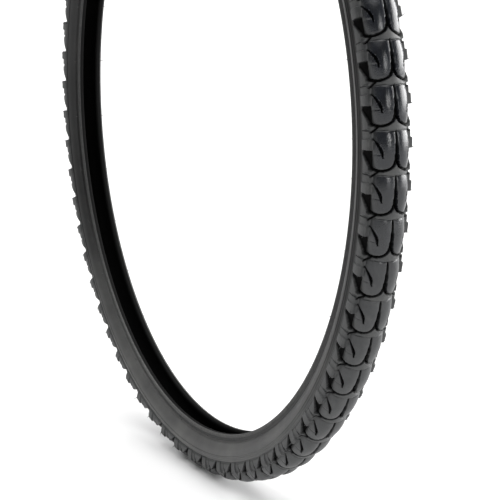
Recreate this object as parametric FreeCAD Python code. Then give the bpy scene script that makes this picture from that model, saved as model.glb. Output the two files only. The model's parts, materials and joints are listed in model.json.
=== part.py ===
"""Knobbly bicycle tyre, size 47-622, wire beads, loose (not mounted on a rim).

The axle line is the Y axis and the wheel's centre is the origin; +Z is up. Every ring is a
profile drawn with x as radius and y as the distance from the centre plane, turned about Y.
The left side is +Y and the right side is -Y.
"""
import FreeCAD, Part
import os
from math import cos, sin, sqrt, radians

os.makedirs("parts", exist_ok=True)
V = FreeCAD.Vector

# Driving dimensions, millimetres and degrees
BEAD_SEAT_R = 311.0          # radius of the rim's bead seat, 622 mm diameter
TYRE_R = 358.0               # radius over the tread: 311 + 47
PITCHES = 63                 # tread pattern repeats round the tyre
FIRST_PITCH_ANGLE = 1.2      # start of the first repeat, about +Y from the front of the wheel
CENTRE_R = 334.0             # radius of the casing arc's centre
SIDE_ANGLE = 120.0           # casing arc runs this far each side of the crown, then straight
TREAD_ANGLE = 78.0           # edge of the tread, from the crown

# Layers, as radii of the section about the casing arc's centre
INNER_FACE = 17.2            # face that the inner tube bears on
PLY = 0.5                    # one ply of rubbered nylon cord
BREAKER = 0.3                # puncture strip under the tread
TREAD_BASE_FACE = 19.0       # floor of the tread grooves
SIDEWALL_FACE = 19.8         # smooth side panel
BAND_FACE = 19.4             # recessed band between side panel and tread
BREAKER_ANGLE = 56.0

# Bead
CORE_R = 1.3                 # rubber-coated bundle of wires
WIRE_R = 0.48                # one turn of bead wire
WIRE_TURN_PITCH = 1.02       # centre to centre, so that the turns don't touch
CORE_S = 11.9                # the core's place along the straight part of the side
TURN_UP_ANGLE = 40.0         # the turned-up ply leans back to the side by this much
WRAP_ANGLE = 70.0            # middle of the ply's wrap round the core
SEAT_IN, SEAT_OUT = 8.0, 13.0    # the bead seat land, from the centre plane

# Sidewall and rim strip: n is outward across the straight side, s is along it to the bead
BAND_END, PANEL_START = 90.0, 91.5     # section angles of the band's end and the panel's start
PANEL_END, GROOVE_START = 6.0, 6.6     # s of the step down from the panel to the groove
GROOVE_N = 19.5                        # floor of the groove above the rim lip
LIP_START, LIP_TOP, LIP_SIDE = (20.9, 8.2), (22.0, 9.7), (22.5, 11.6)    # n, s along the lip's outside
STRIP_FACE = INNER_FACE - 0.6          # the rim strip's face inside the tyre
STRIP_START, STRIP_FULL, TOE_S = 5.0, 6.5, 14.4    # s where it starts, is full thickness, and ends

# Tread blocks
TOP_CIRCLE_R = 21.8          # contour over the blocks, touching TYRE_R at the crown
TOP_CIRCLE_C = TYRE_R - TOP_CIRCLE_R

ply_1 = INNER_FACE + PLY             # between the two plies
ply_2 = ply_1 + PLY                  # outside of the outer ply
breaker_face = ply_2 + BREAKER
core_n = ply_2 + CORE_R              # the core lies against the outer ply
pitch_deg = 360.0 / PITCHES


def polar(radius, angle):
    """Point at a distance and an angle from the casing arc's centre; 0 degrees is the crown."""
    a = radians(angle)
    return V(CENTRE_R + radius * cos(a), radius * sin(a), 0)


def side(n, s):
    """Point on the straight part of the left side: n outward across it, s along it to the bead."""
    a = radians(SIDE_ANGLE)
    return V(CENTRE_R + n * cos(a) - s * sin(a), n * sin(a) + s * cos(a), 0)


def top(angle):
    """Point on the contour over the tread blocks, seen from the casing arc's centre."""
    a, rise = radians(angle), TOP_CIRCLE_C - CENTRE_R
    return polar(rise * cos(a) + sqrt(TOP_CIRCLE_R**2 - (rise * sin(a))**2), angle)


def line(*points):
    """Straight edges through the points in turn."""
    return [Part.LineSegment(a, b).toShape() for a, b in zip(points, points[1:])]


def arc(a, b, c):
    """Arc from a to c through b, as a list of one edge."""
    return [Part.Arc(a, b, c).toShape()]


def layer_arc(radius, start, end):
    """Arc of the section at one radius, between two angles."""
    return arc(polar(radius, start), polar(radius, (start + end) / 2), polar(radius, end))


def mirrored(edges):
    """The same edges on the right side."""
    return [e.mirror(V(0, 0, 0), V(0, 1, 0)) for e in edges]


def face(edges, holes=()):
    """Plane face inside an outline, less the holes' outlines."""
    wires = [Part.Wire(Part.__sortEdges__(list(group))) for group in (edges, *holes)]
    return Part.makeFace(wires, "Part::FaceMakerBullseye")


def turned(profile, start=0.0, sweep=360.0):
    """Profile turned about the axle line, from a start angle through a sweep in degrees."""
    solid = profile.revolve(V(0, 0, 0), V(0, 1, 0), sweep)
    solid.rotate(V(0, 0, 0), V(0, 1, 0), start)
    return solid


def save(name, shape):
    """Write one node and print its size."""
    shape.exportStep(f"parts/{name}.step")
    print(f"{name:28s} solids {len(shape.Solids):3d}  volume {shape.Volume / 1000:8.2f} cm3  "
          f"valid {shape.isValid()}")


def save_pair(name, left_shape):
    """Write a left node and its mirror image as the right node."""
    save(f"{name}_left", left_shape)
    save(f"{name}_right", left_shape.mirror(V(0, 0, 0), V(0, 1, 0)))


# Bead outline: circle of the core, and the turned-up ply leaning back on to the main ply
lean = radians(TURN_UP_ANGLE)


def round_core(radius, angle):
    """Point round the bead core; 0 is outward across the side, 90 is towards the bead's tip."""
    a = radians(angle)
    return side(core_n + radius * cos(a), CORE_S + radius * sin(a))


def lean_end(radius):
    """Distance along the side at which a leaning tangent of that radius meets the main ply."""
    run = (core_n - ply_2 + radius * cos(lean)) / sin(lean)
    return CORE_S - radius * sin(lean) - run * cos(lean)


def hook(radius, start_n):
    """Edges from the main ply round the core and back along the lean to the main ply."""
    return (arc(side(start_n, CORE_S), round_core(radius, WRAP_ANGLE), round_core(radius, -TURN_UP_ANGLE))
            + line(round_core(radius, -TURN_UP_ANGLE), side(ply_2, lean_end(radius))))


def filler_outline():
    """Teardrop of rubber round the wires and up between the ply and its turn-up."""
    return hook(CORE_R, ply_2) + line(side(ply_2, lean_end(CORE_R)), side(ply_2, CORE_S))


# Middles of the four turns of bead wire, two by two
TURN_CENTRES = [side(core_n + dn * WIRE_TURN_PITCH / 2, CORE_S + ds * WIRE_TURN_PITCH / 2)
                for dn in (-1, 1) for ds in (-1, 1)]

# Bead wire: steel wire wound into four turns side by side
save_pair("bead_wire", Part.makeCompound(
    [Part.makeTorus(turn.x, WIRE_R, V(0, turn.y, 0), V(0, 1, 0)) for turn in TURN_CENTRES]))

# Bead filler: rubber that coats the wires
wire_holes = [[Part.Circle(turn, V(0, 0, 1), WIRE_R).toShape()] for turn in TURN_CENTRES]
save_pair("bead_filler", turned(face(filler_outline(), wire_holes)))

# Inner ply: rubbered nylon cord from bead to bead
inner_edge = line(side(ply_1, 0), side(ply_1, CORE_S), side(INNER_FACE, CORE_S), side(INNER_FACE, 0))
save("casing_ply_inner", turned(face(
    layer_arc(ply_1, -SIDE_ANGLE, SIDE_ANGLE) + inner_edge
    + layer_arc(INNER_FACE, SIDE_ANGLE, -SIDE_ANGLE) + mirrored(inner_edge))))

# Outer ply: crosses the inner one and is turned up round both beads
outer_edge = (line(side(ply_2, 0), side(ply_2, lean_end(CORE_R + PLY)))
              + hook(CORE_R + PLY, ply_1) + line(side(ply_1, CORE_S), side(ply_1, 0)))
filler = filler_outline()
save("casing_ply_outer", turned(face(
    layer_arc(ply_2, -SIDE_ANGLE, SIDE_ANGLE) + outer_edge
    + layer_arc(ply_1, SIDE_ANGLE, -SIDE_ANGLE) + mirrored(outer_edge),
    [filler, mirrored(filler)])))

# Breaker: puncture strip between the plies and the tread
save("breaker_strip", turned(face(
    layer_arc(breaker_face, -BREAKER_ANGLE, BREAKER_ANGLE)
    + line(polar(breaker_face, BREAKER_ANGLE), polar(ply_2, BREAKER_ANGLE))
    + layer_arc(ply_2, BREAKER_ANGLE, -BREAKER_ANGLE)
    + line(polar(ply_2, -BREAKER_ANGLE), polar(breaker_face, -BREAKER_ANGLE)))))

# Tread base: the sheet of tread rubber that carries the blocks
base_step = line(polar(breaker_face, BREAKER_ANGLE), polar(ply_2, BREAKER_ANGLE))
base_edge = (layer_arc(ply_2, BREAKER_ANGLE, TREAD_ANGLE)
             + line(polar(ply_2, TREAD_ANGLE), polar(TREAD_BASE_FACE, TREAD_ANGLE)))
save("tread_base", turned(face(
    layer_arc(TREAD_BASE_FACE, -TREAD_ANGLE, TREAD_ANGLE)
    + layer_arc(breaker_face, -BREAKER_ANGLE, BREAKER_ANGLE)
    + base_step + base_edge + mirrored(base_step + base_edge))))

# Sidewall: band beside the tread, smooth panel, and groove above the rim lip
groove_end = lean_end(CORE_R + PLY)
save_pair("sidewall", turned(face(
    line(polar(ply_2, TREAD_ANGLE), polar(BAND_FACE, TREAD_ANGLE))
    + layer_arc(BAND_FACE, TREAD_ANGLE, BAND_END)
    + line(polar(BAND_FACE, BAND_END), polar(SIDEWALL_FACE, PANEL_START))
    + layer_arc(SIDEWALL_FACE, PANEL_START, SIDE_ANGLE)
    + line(side(SIDEWALL_FACE, 0), side(SIDEWALL_FACE, PANEL_END), side(GROOVE_N, GROOVE_START),
           side(GROOVE_N, groove_end), side(ply_2, groove_end), side(ply_2, 0))
    + layer_arc(ply_2, SIDE_ANGLE, TREAD_ANGLE))))

# Chafer: rubber rim strip round the bead, with the cylindrical bead seat and the rim lip
seat_toe, seat_heel = V(BEAD_SEAT_R, SEAT_IN, 0), V(BEAD_SEAT_R, SEAT_OUT, 0)
save_pair("chafer", turned(face(
    line(side(INNER_FACE, STRIP_START), side(INNER_FACE, CORE_S), side(ply_1, CORE_S))
    + hook(CORE_R + PLY, ply_1)
    + line(side(ply_2, groove_end), side(GROOVE_N, groove_end))
    + arc(side(GROOVE_N, groove_end), side(*LIP_START), side(*LIP_TOP))
    + arc(side(*LIP_TOP), side(*LIP_SIDE), seat_heel)
    + line(seat_heel, seat_toe, side(STRIP_FACE, TOE_S), side(STRIP_FACE, STRIP_FULL),
           side(INNER_FACE, STRIP_START)))))

# Tread blocks. Each row: from and to angle across the section, from and to part of a pitch.
# The parts of a pitch run down the front of the wheel, so the tread points the way it rolls.
BLOCK_ROWS = {
    "centre_blocks": (3.5, 34.0, 0.10, 0.90),
    "side_blocks": (36.5, 61.0, 0.10, 0.86),
    "shoulder_knobs_long": (63.0, 84.0, 0.04, 0.62),
    "shoulder_knobs_short": (63.0, 84.0, 0.80, 0.97),
}


def block_profile(low, high):
    """Block across the section: on the tread base (or beside it), up to the top contour."""
    foot = TREAD_BASE_FACE if high <= TREAD_ANGLE else BAND_FACE
    return face(layer_arc(foot, low, high) + line(polar(foot, high), top(high))
                + arc(top(high), top((low + high) / 2), top(low)) + line(top(low), polar(foot, low)))


for row, (low, high, start, end) in BLOCK_ROWS.items():
    first = FIRST_PITCH_ANGLE + start * pitch_deg
    profile, sweep = block_profile(low, high), (end - start) * pitch_deg
    blocks = [turned(profile, first + i * pitch_deg, sweep) for i in range(PITCHES)]
    save_pair(row, Part.makeCompound(blocks))
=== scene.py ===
import json
from math import radians

import bpy
import numpy as np
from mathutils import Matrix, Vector


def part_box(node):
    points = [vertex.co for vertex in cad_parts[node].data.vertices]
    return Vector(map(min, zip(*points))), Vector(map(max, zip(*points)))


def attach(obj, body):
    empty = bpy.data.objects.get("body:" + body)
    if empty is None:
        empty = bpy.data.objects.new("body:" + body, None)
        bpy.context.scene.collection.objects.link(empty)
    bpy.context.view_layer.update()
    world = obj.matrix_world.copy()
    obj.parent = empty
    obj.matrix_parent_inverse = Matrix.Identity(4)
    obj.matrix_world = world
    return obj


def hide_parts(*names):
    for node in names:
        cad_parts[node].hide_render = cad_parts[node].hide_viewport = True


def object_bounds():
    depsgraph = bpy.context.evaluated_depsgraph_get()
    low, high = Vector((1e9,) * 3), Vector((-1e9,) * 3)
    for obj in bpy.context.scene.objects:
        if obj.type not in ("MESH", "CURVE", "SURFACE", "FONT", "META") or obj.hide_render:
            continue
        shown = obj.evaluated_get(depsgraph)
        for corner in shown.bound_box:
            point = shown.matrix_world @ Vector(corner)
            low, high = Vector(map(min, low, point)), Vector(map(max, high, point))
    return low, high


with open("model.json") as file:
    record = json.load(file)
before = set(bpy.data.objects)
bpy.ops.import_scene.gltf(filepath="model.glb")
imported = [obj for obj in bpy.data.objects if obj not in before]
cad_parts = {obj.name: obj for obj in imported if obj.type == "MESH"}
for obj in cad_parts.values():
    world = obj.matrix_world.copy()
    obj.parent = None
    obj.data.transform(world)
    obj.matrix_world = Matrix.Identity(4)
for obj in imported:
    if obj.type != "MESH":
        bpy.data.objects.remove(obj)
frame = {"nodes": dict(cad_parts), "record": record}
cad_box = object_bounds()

# ---------------------------------------------------------------------------------------------
# Lining of the casing: the inner of two plies of rubbered nylon cord, running from bead to bead.
# It is the black inside face of the tyre. The cords lie on the bias and show through the thin
# rubber skin as fine slanting ribs; the building drum leaves faint lines round the wheel.
# ---------------------------------------------------------------------------------------------
ply_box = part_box("casing_ply_inner")
lining_back = ply_box[1][1]                      # section radius of the ply's outer face
centre_r = ply_box[1][0] - lining_back           # wheel radius of the section arc's centre
side_angle = radians(120)                        # the section's arc, then straight to the bead
PLY = 0.0005                                     # thickness of one ply
lining_face = lining_back - PLY
seat_mount = next(m for m in frame["record"]["mounts"] if m["name"] == "bead_seat_left")
seat_r = seat_mount["dims"]["r_mm"] / 1000       # wheel radius of the bead seat
ROUND = 504                                      # steps round the wheel on plain rings


def arc_point(radius, angle):
    """Section points (wheel radius, width) at a distance and an angle from the arc's centre."""
    radius, angle = np.broadcast_arrays(radius, angle)
    return np.stack([centre_r + radius * np.cos(angle), radius * np.sin(angle)], -1)


def side_point(n, s):
    """Section points on the straight part of the left side: n outward, s along it to the bead."""
    n, s = np.broadcast_arrays(n, s)
    across = np.stack([np.cos(side_angle) * np.ones(n.shape), np.sin(side_angle) * np.ones(n.shape)], -1)
    along = np.stack([-across[..., 1], across[..., 0]], -1)
    return np.array([centre_r, 0.0]) + n[..., None] * across + s[..., None] * along


def smooth_path(points, count):
    """Catmull-Rom curve through points: between two of them, the cubic whose ends keep the slope
    of the line joining their neighbours; count samples, evenly spread over the spans."""
    p = np.array(points, float)
    p = np.vstack([2 * p[0] - p[1], p, 2 * p[-1] - p[-2]])
    t = np.linspace(0, len(points) - 1 - 1e-9, count)
    i = t.astype(int)
    t = (t - i)[:, None]
    a, b, c, d = p[i], p[i + 1], p[i + 2], p[i + 3]
    square, cube = 2 * a - 5 * b + 4 * c - d, 3 * b - a - 3 * c + d
    return 0.5 * (2 * b + (c - a) * t + square * t**2 + cube * t**3)


def around(section, theta):
    """Points of a section turned about the axle: x = r cos(theta), y = width, z = r sin(theta).
    section is (steps round, points, 2) or (points, 2); theta runs along the first axis."""
    if section.ndim == 2:
        section = np.broadcast_to(section, (len(theta),) + section.shape)
    r, width = section[..., 0], section[..., 1]
    return np.stack([r * np.cos(theta)[:, None], width, r * np.sin(theta)[:, None]], -1)


def grid_piece(name, points, material, sharp=75):
    """Mesh whose quads join neighbouring points of a grid, closed round the wheel and round the
    section; edges that turn by more than sharp degrees stay crisp. It rides on the one body."""
    rows, cols = points.shape[:2]
    i = np.arange(rows)[:, None]
    j = np.arange(cols)[None, :]
    i2, j2 = (i + 1) % rows, (j + 1) % cols      # the last row and column join up with the first
    quads = np.stack([i * cols + j, i * cols + j2, i2 * cols + j2, i2 * cols + j], -1).reshape(-1, 4)
    return mesh_piece(name, points.reshape(-1, 3), quads, material, sharp)


def mesh_piece(name, verts, quads, material, sharp=75):
    """Object with a mesh of quads, faces pointing outwards, smooth but for its sharp edges."""
    v = verts[quads]
    turned = np.cross(v[:, 1], v[:, 2]) + np.cross(v[:, 2], v[:, 3])
    if np.einsum("ij,ij->i", v[:, 0], turned).sum() < 0:         # the volume inside is negative
        quads = quads[:, ::-1]
    mesh = bpy.data.meshes.new(name)
    mesh.vertices.add(len(verts))
    mesh.vertices.foreach_set("co", verts.astype(np.float32).ravel())
    mesh.loops.add(quads.size)
    mesh.loops.foreach_set("vertex_index", quads.astype(np.int32).ravel())
    mesh.polygons.add(len(quads))
    mesh.polygons.foreach_set("loop_start", np.arange(0, quads.size, 4, dtype=np.int32))
    mesh.polygons.foreach_set("use_smooth", np.ones(len(quads), bool))
    mesh.update(calc_edges=True)
    mesh.validate()
    mesh.set_sharp_from_angle(angle=radians(sharp))
    mesh.materials.append(material)
    piece = bpy.data.objects.new(name, mesh)
    bpy.context.scene.collection.objects.link(piece)
    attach(piece, "root")
    return piece


def linear(code):
    """Linear RGBA from an sRGB hex code: each channel is ((c + 0.055) / 1.055) to the power 2.4,
    or c / 12.92 in the darkest part."""
    srgb = [int(code[k:k + 2], 16) / 255 for k in (1, 3, 5)]
    return [c / 12.92 if c <= 0.04045 else ((c + 0.055) / 1.055)**2.4 for c in srgb] + [1.0]


def node(tree, kind, inputs=(), **settings):
    """Adds a node to a tree, sets its settings, and fills its inputs with links or values."""
    new = tree.nodes.new(kind)
    for key, value in settings.items():
        setattr(new, key, value)
    for key, value in dict(inputs).items():
        if isinstance(value, bpy.types.NodeSocket):
            tree.links.new(value, new.inputs[key])
        else:
            new.inputs[key].default_value = value
    return new


def new_material(name):
    """Empty node material with its output; returns the material, its tree and the output."""
    material = bpy.data.materials.new(name)
    material.use_nodes = True
    tree = material.node_tree
    tree.nodes.clear()
    return material, tree, node(tree, "ShaderNodeOutputMaterial")


def ramp(tree, fac, stops):
    """Colour ramp from (position, hex code) stops."""
    new = node(tree, "ShaderNodeValToRGB", {"Fac": fac})
    band = new.color_ramp
    for k, (place, code) in enumerate(stops):
        stop = band.elements[k] if k < 2 else band.elements.new(place)
        stop.position, stop.color = place, linear(code)
    return new.outputs["Color"]


def lining_rubber():
    """Cord skimmed with black rubber and cured against the bladder: matt black, deepened to near
    black by painted shade of the hollow inside, with the cords as slanting ribs, drawn coarser
    than life at about 4 mm, and streaks round the wheel."""
    material, tree, out = new_material("cord_skim_rubber")
    where = node(tree, "ShaderNodeTexCoord").outputs["UV"]
    streak_place = node(tree, "ShaderNodeMapping", {"Vector": where, "Scale": (9, 60, 1)}).outputs[0]
    streaks = node(tree, "ShaderNodeTexNoise", {"Vector": streak_place, "Scale": 1.0, "Detail": 3.0})
    # Darker than the rubber's own black: painted shade of the hollow inside
    colour = ramp(tree, streaks.outputs["Fac"],
                  ((0.35, "#030303"), (0.62, "#060606"), (0.75, "#0c0c0c")))
    bias = node(tree, "ShaderNodeMapping", {"Vector": where, "Rotation": (0, 0, radians(45))}).outputs[0]
    cords = node(tree, "ShaderNodeTexWave", {"Vector": bias, "Scale": 74.0, "Distortion": 0.6,
                                             "Detail": 1.0}, wave_type="BANDS", bands_direction="X")
    bump = node(tree, "ShaderNodeBump", {"Height": cords.outputs["Fac"], "Strength": 0.25,
                                         "Distance": 0.0002})
    shader = node(tree, "ShaderNodeBsdfPrincipled", {
        "Base Color": colour, "Normal": bump.outputs[0], "Roughness": 0.75, "IOR": 1.5,
        "Specular IOR Level": 0.12})
    tree.links.new(shader.outputs[0], out.inputs["Surface"])
    return material


def add_ring_uv(piece, rows, cols):
    """UV map in metres of a ring: u along the wheel, v across the section, one island with a seam."""
    mesh = piece.data
    corner = np.empty(len(mesh.loops), np.int32)
    mesh.loops.foreach_get("vertex_index", corner)
    corner = corner.reshape(-1, 4)
    co = np.empty(len(mesh.vertices) * 3, np.float32)
    mesh.vertices.foreach_get("co", co)
    co = co.reshape(rows, cols, 3)
    i, j = corner // cols, corner % cols
    i = np.where((i == 0) & (i.max(1, keepdims=True) == rows - 1), rows, i)
    j = np.where((j == 0) & (j.max(1, keepdims=True) == cols - 1), cols, j)
    steps = np.linalg.norm(np.diff(np.vstack([co[0], co[:1, 0]]), axis=0), axis=1)
    across = np.concatenate([[0], np.cumsum(steps)])
    uv = np.stack([i / rows * 2 * np.pi * centre_r, across[j]], -1)
    mesh.uv_layers.new(name="ring").uv.foreach_set("vector", uv.astype(np.float32).ravel())


def both_sides(half):
    """A left half section followed by its mirror image, as one closed loop through the crown."""
    return np.vstack([half[::-1] * [1, -1], half[1:]])


lining_end = 0.0119                              # how far the ply runs along the straight side
angles = np.linspace(0, side_angle, 25)
drops = np.linspace(0.0, lining_end, 7)[1:]
face_half = np.vstack([arc_point(lining_face, angles), side_point(lining_face, drops)])
back_half = np.vstack([arc_point(lining_back, angles), side_point(lining_back, drops)])
ring = np.linspace(0, 2 * np.pi, ROUND, endpoint=False)
lining_section = np.vstack([both_sides(face_half), both_sides(back_half)[::-1]])
lining = grid_piece("casing_lining", around(lining_section, ring), lining_rubber())
add_ring_uv(lining, ROUND, len(lining_section))
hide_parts("casing_ply_inner")

# ---------------------------------------------------------------------------------------------
# Tread: one moulding of black tread rubber, with its pattern cut by the mould. Each repeat has,
# on either side of the crown, a domed scale held in a U-shaped groove, an S-shaped sipe in the
# scale, a low bridge under it, and a tall and a low knob at the shoulder. The halves mirror each
# other and share the slot on the crown. It is made as six closed bands.
# ---------------------------------------------------------------------------------------------
tread_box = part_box("centre_blocks_left")
tyre_r = tread_box[1][0]
PITCHES = 63
pitch_mm = 2 * np.pi * tyre_r / PITCHES * 1000
first_pitch = radians(-1.2)                      # the pattern's start, below the front of the wheel
ROWS, BAND_COLS = 60, 20                         # grid steps along a pitch, and across a band
edge_angle, flank_angle = 82.0, 58.0             # the tread's edge, and where its flank begins
mm_per_degree = radians(22.0)                    # along the section, 22 mm from the arc's centre

# Each cut: its centre line as (degrees from the crown, part of a pitch, half width in mm),
# then its depth and the width of its sloping wall, both in mm
U_GROOVE = (((0, 0.06, 0.20), (0, 0.20, 0.45), (0, 0.38, 0.80), (0.3, 0.55, 1.10), (1.5, 0.68, 1.05),
             (4, 0.79, 0.85), (9, 0.865, 0.65), (16, 0.91, 0.60), (25, 0.94, 0.65), (35, 0.95, 0.80),
             (44, 0.935, 0.90), (50, 0.92, 1.05), (54, 0.895, 1.05)), 4.4, 0.5)
S_SIPE = (((50, 0.24, 0.12), (46, 0.27, 0.25), (41, 0.33, 0.40), (36, 0.40, 0.62), (32, 0.47, 0.68),
           (30, 0.54, 0.50), (29, 0.60, 0.20), (28, 0.65, 0.10)), 2.0, 0.5)
NOTCH = (((36, -0.035, 0.30), (44, 0.02, 0.60), (53, 0.085, 0.40)), 2.2, 0.5)
TOP_LINE = (((76, 0.05, 0.12), (56, 0.05, 0.12), (30, 0.05, 0.12), (4, 0.065, 0.15)), 0.8, 0.45)
CREASE = (((56, 0.62, 0.10), (46, 0.58, 0.15), (36, 0.58, 0.15), (27, 0.56, 0.10)), 0.35, 0.7)
DEEP_CUTS = U_GROOVE, S_SIPE, NOTCH              # the ones whose floors get painted shade, near black

# Section radii in mm: crown, the scales' outer end, the shoulder's knobs, wedge and slot, the edge
CROWN, SCALE_END, TALL_KNOB, LOW_KNOB, WEDGE, SLOT, EDGE = 24.1, 20.9, 24.4, 22.9, 19.0, 21.6, 19.9
BRIDGE, DOME, DOME_FALL = -1.1, 0.75, 2.3        # heights over the crown line, and a dome's fall, mm
JOIN_R, FOOT_R = 0.0192, 0.0180                  # section radii of the tread's edge and underside, m

# Parts of a pitch at which a scale, the tall knob, the wedge and the slot begin or end; the slot
# runs on into the next pitch. Then, as (degrees from the crown) and (parts of a pitch), a scale's
# lower edge and the wedge's far wall.
SCALE_TOP, TALL_START, TALL_END, WEDGE_START = 0.045, 0.23, 0.52, 0.48
SLOT_START, SLOT_END = 0.985, 0.055
U_BOTTOM = ((0, 1.5, 4, 9, 16, 25, 35, 45, 54, 62),
            (0.55, 0.68, 0.79, 0.865, 0.91, 0.94, 0.95, 0.94, 0.90, 0.83))
FAR_WALL = (52, 55, 66, 78, 82), (0.94, 0.92, 0.75, 0.59, 0.53)

# Heights in m between which the paler colour of the tyre's foot, dust and painted light, sets in, from
# none to full
TREAD_DUST_AND_LIGHT, WALL_DUST_AND_LIGHT = (0.06, -0.22), (-0.10, -0.33)


def ease(t):
    """Smooth step from 0 to 1: 3 t^2 - 2 t^3, clipped."""
    t = np.clip(t, 0, 1)
    return t * t * (3 - 2 * t)


def cut_depth(cut, angle, part):
    """Depth of a cut in mm: full within its half width, easing out up its wall. The distance is to
    the nearest of many samples of the centre line, in this pitch or the next."""
    line, depth, wall = cut
    x, y = mm_per_degree * angle, pitch_mm * part
    path = smooth_path(line, 110)
    px, py, half = mm_per_degree * path[:, 0], pitch_mm * path[:, 1], path[:, 2]
    best = np.full(x.shape, np.inf)
    for shift in (-pitch_mm, 0.0, pitch_mm):
        gap = np.hypot(x[..., None] - px, y[..., None] - py - shift) - half
        best = np.minimum(best, gap.min(-1))
    return depth * ease(1 - best / wall)


def crown_line(angle):
    """Section radius in mm of the plain tread: CROWN - (CROWN - SCALE_END) (angle / 57)^2."""
    return CROWN - (CROWN - SCALE_END) * (angle / 57)**2


def scale_radius(angle, part):
    """Section radius in mm between the shoulders. A scale is a dome on the crown line, highest at
    26 degrees and half a pitch; a bridge is the low strip between two scales."""
    reach = ((angle - 26) / 32)**2 + ((part - 0.49) / 0.50)**2
    dome = DOME - DOME_FALL * reach
    scale = ease((part - SCALE_TOP) / 0.02) * (part < np.interp(angle, *U_BOTTOM))
    return crown_line(angle) + BRIDGE + (dome - BRIDGE) * scale


def shoulder_radius(angle, part):
    """Section radius in mm of the shoulder: slot, low knob, tall knob, then the floor of a wedge
    whose far wall slants from the scale to the flank. Flanks fall straight to the edge."""
    flank = np.clip((angle - flank_angle) / (edge_angle - flank_angle), 0, 1)
    tall = TALL_KNOB + (EDGE - TALL_KNOB) * flank
    low = LOW_KNOB + (EDGE - 0.3 - LOW_KNOB) * flank
    radius = low + (tall - low) * ease((part - TALL_START) / 0.02) * ease((TALL_END - part) / 0.02)
    wedge = ease((part - WEDGE_START) / 0.025) * ease((np.interp(angle, *FAR_WALL) - part) / 0.025)
    radius = radius + (WEDGE - radius) * wedge
    slot = np.maximum(ease((SLOT_END - part) / 0.015), ease((part - SLOT_START) / 0.015))
    return radius + (np.minimum(SLOT, low) - radius) * slot


def knob_share(angle):
    """How far the surface has passed from scale to knob: a straight ramp from 49 to 54 degrees."""
    return np.clip((angle - 49) / 5, 0, 1)


def polish_and_painted_reflection(angle, part):
    """1 on the domes of the scales, where the mould is polished and the colour takes a painted bluish
    reflection and shade, fading to 0 beside them.
    """
    inside = ease((part - 0.03) / 0.06) * ease((0.93 - part) / 0.10)
    return inside * (1 - ease((angle - 34) / 20)) * (0.35 + 0.65 * ease(angle / 6))


def cut_floor_shade(angle, part):
    """1 on the floors of the deep cuts and of the wedge, 0 on everything that is higher: the mask of the
    painted shade in the cuts.
    """
    cuts = np.max([cut_depth(cut, angle, part) / cut[1] for cut in DEEP_CUTS], axis=0)
    low = ease((20.8 - shoulder_radius(angle, part)) / 1.2)
    wedge = low * ease((angle - 51) / 2) * ease((80 - angle) / 2)
    return np.maximum(ease(1.3 * cuts), wedge)


def tread_radius(angle, part):
    """Section radius in mm of the tread: scales slope up to the knobs at the shoulder, and the
    cuts go down through both, the deepest one winning."""
    outer = knob_share(angle)
    uncut = scale_radius(angle, part) * (1 - outer) + shoulder_radius(angle, part) * outer
    deepest = np.max([cut_depth(cut, angle, part) for cut in (*DEEP_CUTS, TOP_LINE, CREASE)], axis=0)
    base = crown_line(np.minimum(angle, 60))
    flat_cut = base + (uncut - base) * (1 - ease(deepest / 3.0)) - deepest
    floor_radius = 18.6 + 0.6 * ease((angle - 68) / 12)
    return np.maximum(np.minimum(uncut, flat_cut), floor_radius)


def foot_dust_and_light(tree, top, bottom):
    """Share of dust and painted light at the foot, 0 above the height top and rising smoothly to 1 at
    the height bottom.
    """
    where = node(tree, "ShaderNodeTexCoord").outputs["Object"]
    height = node(tree, "ShaderNodeSeparateXYZ", {"Vector": where}).outputs["Z"]
    return node(tree, "ShaderNodeMapRange", {"Value": height, "From Min": top, "From Max": bottom},
                interpolation_type="SMOOTHSTEP").outputs[0]


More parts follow.
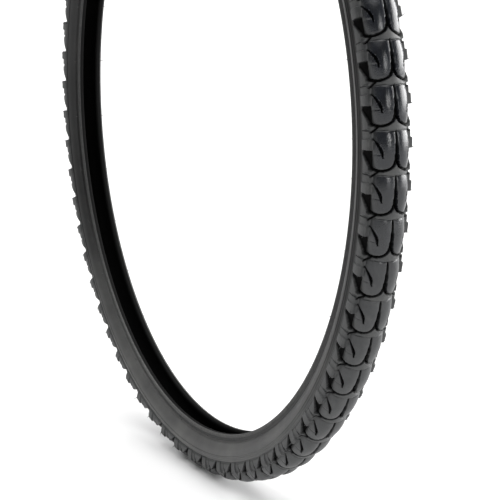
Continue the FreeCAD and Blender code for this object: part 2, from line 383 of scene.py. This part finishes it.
def tread_rubber():
    """Natural and synthetic rubber black with carbon, cured at 150 C against a blasted steel
    mould. The domes come out glossy, in a darker bluish black that is painted reflection and
    shade, which turns grey towards the tyre's foot with dust and painted light; bridges and
    flanks are duller and greyer, and the cuts' floors are painted near black as shade. The
    attributes polish and depth tell them apart."""
    material, tree, out = new_material("moulded_tread_rubber")
    where = node(tree, "ShaderNodeTexCoord").outputs["Object"]
    patches = node(tree, "ShaderNodeTexNoise", {"Vector": where, "Scale": 90.0, "Detail": 5.0,
                                                "Roughness": 0.65})
    # The attribute depth carries the painted shade of the cuts' floors
    depth = node(tree, "ShaderNodeAttribute", attribute_name="depth").outputs["Fac"]
    # The greyer tone of bridges and flanks, and of the foot with dust and painted light
    dusty_and_lit = ramp(tree, patches.outputs["Fac"], ((0.30, "#232425"), (0.52, "#303131"), (0.75, "#424241")))
    # The domes' darker bluish black is painted reflection and shade
    clean = ramp(tree, patches.outputs["Fac"], ((0.30, "#090b0f"), (0.55, "#11141a"), (0.78, "#1d2024")))
    moulded = node(tree, "ShaderNodeAttribute", attribute_name="polish_and_painted_reflection").outputs["Fac"]
    # Towards the foot the domes lose gloss and bluish black and turn paler: dust and painted light
    kept = node(tree, "ShaderNodeMapRange", {"Value": foot_dust_and_light(tree, *TREAD_DUST_AND_LIGHT), "To Min": 1.0,
                                             "To Max": 0.2}).outputs[0]
    # Mould gloss for the roughness, and painted reflection and shade for the colour
    polished = node(tree, "ShaderNodeMath", {0: moulded, 1: kept}, operation="MULTIPLY").outputs[0]
    colour = node(tree, "ShaderNodeMix", {"Factor": polished, "A": dusty_and_lit, "B": clean}, data_type="RGBA")
    # Painted shade: the cuts' floors are mixed to near black
    colour = node(tree, "ShaderNodeMix", {"Factor": depth, "A": colour.outputs[2],
                                          "B": linear("#040404")}, data_type="RGBA")
    rub = node(tree, "ShaderNodeMath", {0: patches.outputs["Fac"], 1: polished}, operation="SUBTRACT")
    gloss = node(tree, "ShaderNodeMapRange", {
        "Value": rub.outputs[0], "From Min": -0.55, "From Max": 0.6, "To Min": 0.15, "To Max": 0.55})
    grain = node(tree, "ShaderNodeTexNoise", {"Vector": where, "Scale": 1300.0, "Detail": 3.0})
    bump = node(tree, "ShaderNodeBump", {"Height": grain.outputs["Fac"], "Strength": 0.4,
                                         "Distance": 0.0004})
    # Painted shade also takes most of the specular out of the cuts' floors
    glint = node(tree, "ShaderNodeMapRange", {"Value": depth, "To Min": 0.5, "To Max": 0.05})
    shader = node(tree, "ShaderNodeBsdfPrincipled", {
        "Base Color": colour.outputs[2], "Roughness": gloss.outputs[0], "Normal": bump.outputs[0],
        "IOR": 1.52, "Specular IOR Level": glint.outputs[0]})
    tree.links.new(shader.outputs[0], out.inputs["Surface"])
    return material


tread_material = tread_rubber()
part = np.arange(ROWS) / ROWS
theta = first_pitch - 2 * np.pi * np.arange(ROWS * PITCHES) / (ROWS * PITCHES)
BANDS = {"crown": (0.0, 27.0), "scale": (27.0, 54.0), "shoulder": (54.0, edge_angle)}
for band, (low, high) in BANDS.items():
    angle = np.linspace(low, high, BAND_COLS)
    grid_angle, grid_part = np.meshgrid(angle, part)
    radius = tread_radius(grid_angle, grid_part) / 1000
    if band == "shoulder":
        radius[:, -1] = JOIN_R
    top_face = arc_point(radius, np.radians(grid_angle))
    foot_angle = np.radians(np.linspace(high, low, 4))
    foot = np.broadcast_to(arc_point(FOOT_R, foot_angle), (ROWS, 4, 2))
    section = np.tile(np.concatenate([top_face, foot], axis=1), (PITCHES, 1, 1))
    for side, sign in (("left", 1), ("right", -1)):
        piece = grid_piece(f"tread_{band}_{side}", around(section * [1, sign], theta), tread_material,
                           sharp=38)
        shine = np.zeros(section.shape[:2], np.float32)
        # shine is the polish mask: gloss, and the painted bluish reflection of the domes
        shine[:, :BAND_COLS] = np.tile(polish_and_painted_reflection(grid_angle, grid_part), (PITCHES, 1))
        piece.data.attributes.new("polish_and_painted_reflection", "FLOAT", "POINT").data.foreach_set("value", shine.ravel())
        # dark is the painted shade of the cuts' floors, stored as the attribute depth
        dark = np.zeros_like(shine)
        dark[:, :BAND_COLS] = np.tile(cut_floor_shade(grid_angle, grid_part), (PITCHES, 1))
        piece.data.attributes.new("depth", "FLOAT", "POINT").data.foreach_set("value", dark.ravel())
        if band == "crown":
            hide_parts(f"centre_blocks_{side}", "tread_base")
        elif band == "scale":
            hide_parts(f"side_blocks_{side}")
        else:
            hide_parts(f"shoulder_knobs_long_{side}", f"shoulder_knobs_short_{side}")

# ---------------------------------------------------------------------------------------------
# Vent hairs: whiskers of rubber that was squeezed out through the mould's air holes and tore off
# when the tyre was pulled out. They stand on the tall knobs and beside the rim lip.
# ---------------------------------------------------------------------------------------------
draw = np.random.default_rng(7)
HAIR_R, CORNERS, RINGS = 0.0004, 4, 5            # half width at the root, m; corners of a ring; rings
# For each place: section angle and radius, part of the pitch, one in so many pitches, longest hair
HAIRS = {"knobs": (58, 0.0240, 0.46, 1, 0.0034), "lips": (139, 0.0234, 0.3, 2, 0.0055)}


def whiskers(name, root, out, bend, radius, material):
    """Square tubes, one for each root point: the middle line is root + s out + s^2 bend for s from
    0 to 1, and the half width shrinks from radius to a quarter of it."""
    s = np.linspace(0, 1, RINGS)[None, :, None]
    middle = root[:, None] + s * out[:, None] + s**2 * bend[:, None]
    side_a = np.cross(out, bend + [1e-6, 2e-6, 3e-6])       # the small shift keeps it from being zero
    side_a /= np.linalg.norm(side_a, axis=1, keepdims=True)
    side_b = np.cross(out, side_a)
    side_b /= np.linalg.norm(side_b, axis=1, keepdims=True)
    turn = np.arange(CORNERS) * 2 * np.pi / CORNERS
    spoke = np.cos(turn)[:, None] * side_a[:, None] + np.sin(turn)[:, None] * side_b[:, None]
    verts = middle[:, :, None] + radius * (1 - 0.75 * s[..., None]) * spoke[:, None]
    ring = CORNERS * np.arange(RINGS - 1)[:, None]
    a = np.arange(CORNERS)[None, :]
    b = (a + 1) % CORNERS
    skin = np.stack([ring + a, ring + b, ring + CORNERS + b, ring + CORNERS + a], -1).reshape(-1, 4)
    quads = np.vstack([skin, a[:, ::-1], CORNERS * (RINGS - 1) + a])         # and the two ends
    quads = (quads[None] + CORNERS * RINGS * np.arange(len(root))[:, None, None]).reshape(-1, 4)
    return mesh_piece(name, verts.reshape(-1, 3), quads, material, sharp=50)


def hair_roots(section_angle, section_radius, part_of_pitch, every):
    """Points on both sides of the wheel at an angle and a radius of the section, once in so many
    pitches, each shifted a little at random; and the outward direction of the section there."""
    pitch = np.arange(0, PITCHES, every) + draw.uniform(-0.03, 0.03, len(range(0, PITCHES, every)))
    turn = np.tile(first_pitch - 2 * np.pi * (pitch + part_of_pitch) / PITCHES, 2)
    side = np.repeat([1.0, -1.0], len(pitch))
    a = radians(section_angle)
    axle_r = centre_r + section_radius * np.cos(a)
    wide = section_radius * np.sin(a) * side
    root = np.stack([axle_r * np.cos(turn), wide, axle_r * np.sin(turn)], -1)
    out = np.stack([np.cos(a) * np.cos(turn), np.sin(a) * side, np.cos(a) * np.sin(turn)], -1)
    along = np.stack([-np.sin(turn), 0 * turn, np.cos(turn)], -1)
    return root, out, along


for place, (section_angle, section_radius, at, every, longest) in HAIRS.items():
    root, out, along = hair_roots(section_angle, section_radius, at, every)
    length = draw.uniform(0.3, 1.0, (len(root), 1)) * longest
    bend = (along * draw.uniform(-0.8, 0.8, length.shape) + draw.uniform(-0.3, 0.3, root.shape)) * length
    whiskers(f"vent_hairs_{place}", root, out * length, bend, HAIR_R, tread_material)

# ---------------------------------------------------------------------------------------------
# Sidewalls: a sheet of softer black rubber on each side, moulded smooth. From the tread inwards:
# a recessed band, a step up to the panel with a thin rib, and a groove above the rim lip.
# ---------------------------------------------------------------------------------------------
panel_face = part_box("sidewall_left")[1][1]       # section radius of the panel
band_face, wall_back, groove_n = panel_face - 0.0006, panel_face - 0.0018, panel_face - 0.0011
RIB = 0.0007                                     # height of the rib on the panel
wall_top = edge_angle - 2                        # the sheet starts just under the tread's edge
groove_end = 0.0075                              # where the groove meets the rim strip, along the side


def sidewall_rubber():
    """Soft carbon-black rubber pressed against a polished mould: smoother than the tread, neutral,
    with a faint bloom of wax in broad patches, and paler at its foot with dust and painted light."""
    material, tree, out = new_material("smooth_sidewall_rubber")
    where = node(tree, "ShaderNodeTexCoord").outputs["Object"]
    bloom = node(tree, "ShaderNodeTexNoise", {"Vector": where, "Scale": 24.0, "Detail": 5.0,
                                              "Roughness": 0.55})
    clean = ramp(tree, bloom.outputs["Fac"], ((0.32, "#1a1a1a"), (0.55, "#202020"), (0.75, "#292928")))
    dusty_and_lit = ramp(tree, bloom.outputs["Fac"], ((0.32, "#484848"), (0.55, "#545453"), (0.75, "#626260")))
    # Paler towards the foot: dust and painted light
    colour = node(tree, "ShaderNodeMix", {"Factor": foot_dust_and_light(tree, *WALL_DUST_AND_LIGHT), "A": clean, "B": dusty_and_lit},
                  data_type="RGBA")
    grain = node(tree, "ShaderNodeTexNoise", {"Vector": where, "Scale": 1100.0, "Detail": 2.0})
    bump = node(tree, "ShaderNodeBump", {"Height": grain.outputs["Fac"], "Strength": 0.2,
                                         "Distance": 0.0002})
    shader = node(tree, "ShaderNodeBsdfPrincipled", {
        "Base Color": colour.outputs[2], "Roughness": 0.46, "Normal": bump.outputs[0], "IOR": 1.5,
        "Specular IOR Level": 0.25})
    tree.links.new(shader.outputs[0], out.inputs["Surface"])
    return material


wall_material = sidewall_rubber()
# Outer face from the tread down: band, step, panel with its rib, groove; then the back, going up
outer = np.vstack([
    arc_point(band_face, np.radians(np.linspace(wall_top, 89, 8))),
    arc_point(panel_face - 0.0001, radians(90.2))[None],
    arc_point(panel_face, np.radians(np.linspace(91, 95, 4))),
    arc_point(panel_face + RIB, np.radians(np.array([95.9, 96.5]))),
    arc_point(panel_face, np.radians(np.linspace(97.4, 120, 14))),
    side_point(panel_face, np.linspace(0.0005, 0.0056, 6)),
    side_point(np.array([panel_face - 0.0002, groove_n, groove_n]),
               np.array([0.0060, 0.0063, groove_end]))])
inner = np.vstack([side_point(wall_back, np.linspace(groove_end, 0, 4)),
                   arc_point(wall_back, np.radians(np.linspace(120, wall_top, 12)))])
for side, sign in (("left", 1), ("right", -1)):
    wall = grid_piece(f"sidewall_panel_{side}", around(np.vstack([outer, inner]) * [1, sign], ring),
                      wall_material)
    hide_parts(f"sidewall_{side}")

# ---------------------------------------------------------------------------------------------
# Chafers: a rubber rim strip wrapped round each bead. It carries the rounded rim lip, the seat
# that grips the rim and the thin toe inside. The weave of its cloth shows faintly through it.
# ---------------------------------------------------------------------------------------------
chafer_face = lining_face - 0.0006
seat_in, seat_out = 0.0080, 0.0130               # the seat's edges, from the centre plane


def chafer_rubber():
    """Rubber-skimmed cloth, cured in the bead ring of the mould: dull black, with a slight mottle,
    the uneven print of its weave, drawn at about 1.5 mm so that it shows, and paler at the foot
    with dust and painted light."""
    material, tree, out = new_material("rim_strip_rubber")
    where = node(tree, "ShaderNodeTexCoord").outputs["Object"]
    mottle = node(tree, "ShaderNodeTexNoise", {"Vector": where, "Scale": 320.0, "Detail": 4.0,
                                               "Roughness": 0.7})
    clean = ramp(tree, mottle.outputs["Fac"], ((0.30, "#252525"), (0.50, "#2e2e2e"), (0.72, "#3a3a39")))
    dusty_and_lit = ramp(tree, mottle.outputs["Fac"], ((0.30, "#3c3c3b"), (0.50, "#484847"), (0.72, "#585856")))
    # Paler towards the foot: dust and painted light
    colour = node(tree, "ShaderNodeMix", {"Factor": foot_dust_and_light(tree, *WALL_DUST_AND_LIGHT), "A": clean, "B": dusty_and_lit},
                  data_type="RGBA")
    weave = node(tree, "ShaderNodeTexNoise", {"Vector": where, "Scale": 650.0, "Detail": 2.0})
    bump = node(tree, "ShaderNodeBump", {"Height": weave.outputs["Fac"], "Strength": 0.5,
                                         "Distance": 0.0003})
    shader = node(tree, "ShaderNodeBsdfPrincipled", {
        "Base Color": colour.outputs[2], "Roughness": 0.6, "Normal": bump.outputs[0], "IOR": 1.5,
        "Specular IOR Level": 0.35})
    tree.links.new(shader.outputs[0], out.inputs["Surface"])
    return material


# From the lining down to the toe, across the seat, round the rim lip, and up behind the panel
bead_profile = np.vstack([
    side_point(lining_face, 0.0050)[None],
    side_point(np.full(4, chafer_face), np.linspace(0.0058, 0.0140, 4)),
    [[seat_r + 0.0009, seat_in - 0.0002], [seat_r, seat_in + 0.0006]],
    [[seat_r, w] for w in np.linspace(seat_in + 0.0015, seat_out - 0.0012, 4)],
    smooth_path([[seat_r, seat_out - 0.0008], [seat_r + 0.0004, seat_out + 0.0005],
                 side_point(0.0226, 0.0124), side_point(0.0222, 0.0113),
                 side_point(0.0208, 0.0106), side_point(groove_n + 0.0002, 0.0101)], 16),
    side_point(np.array([groove_n, groove_n, wall_back]), np.array([0.0096, groove_end, groove_end])),
    side_point(lining_back + PLY, np.array([0.0080, 0.0115]))])
PAINTED_SHADE_END = 10                                    # points up to here take the lining's near black, painted shade inside the bead
chafer_material = chafer_rubber()
for side, sign in (("left", 1), ("right", -1)):
    chafer = grid_piece(f"rim_strip_{side}", around(bead_profile * [1, sign], ring), chafer_material)
    # The seat and toe take the lining's near black: painted shade inside the bead
    chafer.data.materials.append(lining.data.materials[0])
    inside = np.tile(np.arange(len(bead_profile)) < PAINTED_SHADE_END, ROUND).astype(np.int32)
    chafer.data.polygons.foreach_set("material_index", inside)
    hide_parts(f"chafer_{side}")

# ---------------------------------------------------------------------------------------------
# Hidden layers: these stay as the frame has them and get the finish of the real thing.
# ---------------------------------------------------------------------------------------------


def plain_rubber(name, dark, light, roughness):
    """Black rubber compound with a faint mottle, for layers inside the tyre."""
    material, tree, out = new_material(name)
    where = node(tree, "ShaderNodeTexCoord").outputs["Object"]
    mottle = node(tree, "ShaderNodeTexNoise", {"Vector": where, "Scale": 180.0, "Detail": 3.0})
    colour = ramp(tree, mottle.outputs["Fac"], ((0.35, dark), (0.7, light)))
    shader = node(tree, "ShaderNodeBsdfPrincipled", {"Base Color": colour, "Roughness": roughness,
                                                     "IOR": 1.5})
    tree.links.new(shader.outputs[0], out.inputs["Surface"])
    return material


def coated_wire():
    """High-carbon steel wire, drawn and brass coated so that rubber bonds to it."""
    material, tree, out = new_material("brass_coated_steel_wire")
    where = node(tree, "ShaderNodeTexCoord").outputs["Object"]
    die_marks = node(tree, "ShaderNodeTexNoise", {"Vector": where, "Scale": 400.0, "Detail": 2.0})
    colour = ramp(tree, die_marks.outputs["Fac"], ((0.3, "#b59a5e"), (0.7, "#cdb882")))
    shader = node(tree, "ShaderNodeBsdfPrincipled", {"Base Color": colour, "Metallic": 1.0,
                                                     "Roughness": 0.32})
    tree.links.new(shader.outputs[0], out.inputs["Surface"])
    return material


hidden = {"casing_ply_outer": plain_rubber("cord_ply_rubber", "#141414", "#1f1f1f", 0.6),
          "breaker_strip": plain_rubber("woven_breaker_rubber", "#1e1d1a", "#2c2a26", 0.7)}
bead_rubber = plain_rubber("hard_bead_rubber", "#151515", "#222222", 0.5)
wire_steel = coated_wire()
for side in ("left", "right"):
    hidden[f"bead_filler_{side}"] = bead_rubber
    hidden[f"bead_wire_{side}"] = wire_steel
for name, material in hidden.items():
    for slot in frame["nodes"][name].material_slots:
        slot.material = material

# ---------------------------------------------------------------------------------------------
# Studio: a pale table, an even surround, a wide soft light overhead, a low one behind the wheel
# that brings out its far shoulder, and a small one that glints on the domes.
# ---------------------------------------------------------------------------------------------
bpy.context.scene.view_settings.view_transform = "Standard"


def pale_floor():
    """Matt white acrylic of a light table, lit a little from below."""
    material, tree, out = new_material("white_light_table")
    where = node(tree, "ShaderNodeTexCoord").outputs["Object"]
    tone = node(tree, "ShaderNodeTexNoise", {"Vector": where, "Scale": 3.0})
    colour = ramp(tree, tone.outputs["Fac"], ((0.3, "#e9e9e9"), (0.7, "#ececec")))
    shader = node(tree, "ShaderNodeBsdfPrincipled", {
        "Base Color": colour, "Roughness": 0.9, "Emission Color": (1, 1, 1, 1),
        "Emission Strength": 0.03})
    tree.links.new(shader.outputs[0], out.inputs["Surface"])
    return material


floor_mesh = bpy.data.meshes.new("floor")
half = 30.0                                      # the table's half width, m
corners = [(-half, -half, 0), (half, -half, 0), (half, half, 0), (-half, half, 0)]
floor_mesh.from_pydata(corners, [], [(0, 1, 2, 3)])
floor_mesh.materials.append(pale_floor())
floor = bpy.data.objects.new("floor", floor_mesh)
floor.location.z = cad_box[0][2]
bpy.context.scene.collection.objects.link(floor)

world = bpy.data.worlds.new("studio")
world.use_nodes = True
surround = world.node_tree.nodes["Background"]
surround.inputs["Color"].default_value = (1, 1, 1, 1)
surround.inputs["Strength"].default_value = 0.20
bpy.context.scene.world = world


def soft_light(name, azimuth, elevation, strength, spread):
    """Distant light from a direction, azimuth 0 at -Y, with a disc of spread degrees."""
    a, e = radians(azimuth), radians(elevation)
    source = Vector((np.sin(a) * np.cos(e), -np.cos(a) * np.cos(e), np.sin(e)))
    data = bpy.data.lights.new(name, "SUN")
    data.energy, data.angle = strength, radians(spread)
    lamp = bpy.data.objects.new(name, data)
    lamp.rotation_euler = (-source).to_track_quat("-Z", "Y").to_euler()
    bpy.context.scene.collection.objects.link(lamp)


soft_light("key", -8, 85, 3.2, 80)
soft_light("rim", 172, 6, 7.0, 60)
soft_light("glint", 95, 14, 0.7, 8)

# ---------------------------------------------------------------------------------------------
# Camera: close to the wheel and well round to its front edge, so that the near limb looks
# larger. It aims a little to the right of the axle and below it, which leaves the top out.
# ---------------------------------------------------------------------------------------------
azimuth, elevation, distance = radians(65.11), radians(6.62), 1.5321
aim_right, aim_down = 0.0295, 0.0859             # as parts of the distance
back = Vector((np.sin(azimuth) * np.cos(elevation),
               -np.cos(azimuth) * np.cos(elevation),
               np.sin(elevation)))               # from the axle towards the camera
right = (-back).cross(Vector((0, 0, 1))).normalized()
up = right.cross(-back)
view = (-back + right * aim_right - up * aim_down).normalized()
lens = bpy.data.cameras.new("camera")
lens.lens, lens.sensor_width = 112.03, 36
lens.clip_end = 100
camera = bpy.data.objects.new("camera", lens)
camera.location = back * distance
camera.rotation_euler = view.to_track_quat("-Z", "Y").to_euler()
bpy.context.scene.collection.objects.link(camera)
bpy.context.scene.camera = camera
